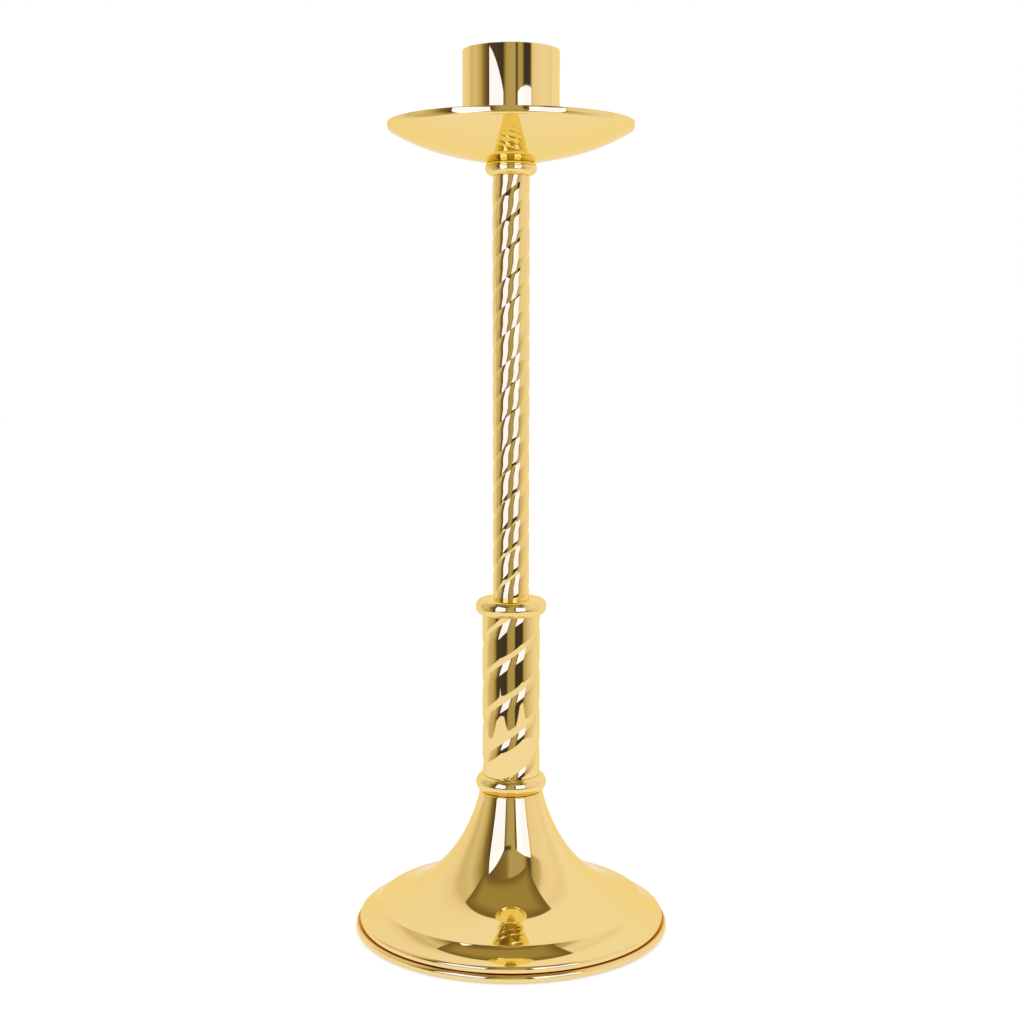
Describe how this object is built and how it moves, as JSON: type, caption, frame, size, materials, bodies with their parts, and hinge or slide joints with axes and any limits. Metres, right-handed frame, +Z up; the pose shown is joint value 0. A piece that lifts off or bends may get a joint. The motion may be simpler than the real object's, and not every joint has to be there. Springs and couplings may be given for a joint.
{
  "type": "spiral candle holder",
  "caption": "Tall polished brass candle holder: flared foot, spiral-twisted stem with bead collars, drip pan and a screw-off socket for a pillar candle.",
  "frame": {"origin": "centre of the felt's underside, on the table", "axes": "+Z up along the stem, -Y towards the picture's viewer, +X to their right"},
  "size_m": [0.2032, 0.2032, 0.5602],
  "materials": {
    "polished_brass": "mirror polished and lacquered",
    "zinc_steel": "zinc plated",
    "cast_weight": "as cast, black",
    "felt": "dense green felt",
    "fibre": "red vulcanised fibre"
  },
  "bodies": {
    "stand": {"foot_ring": "polished_brass", "base_shell": "polished_brass", "lower_collar": "polished_brass", "spiral_sleeve": "polished_brass", "upper_collar": "polished_brass", "spiral_shaft": "polished_brass", "neck_ring": "polished_brass", "drip_pan": "polished_brass", "tie_rod": "zinc_steel", "flat_washer": "zinc_steel", "lock_washer": "zinc_steel", "bottom_nut": "zinc_steel", "neck_nut": "zinc_steel", "felt_pad": "felt", "ballast": "cast_weight"},
    "washer": {"socket_washer": "fibre"},
    "socket": {"socket_tube": "polished_brass", "socket_floor": "polished_brass"}
  },
  "joints": [
    {"name": "socket_turn", "type": "hinge", "parent": "stand", "child": "washer", "pos_m": [0, 0, 0.4937], "axis": [0, 0, 1], "range_deg": [0, 2160]},
    {"name": "socket_lift", "type": "slide", "parent": "washer", "child": "socket", "axis": [0, 0, 1], "range_m": [0, 0.0096]}
  ],
  "couplings": [
    {"joint": "socket_lift", "follows": "socket_turn", "m_per_rad": 0.00025266}
  ]
}
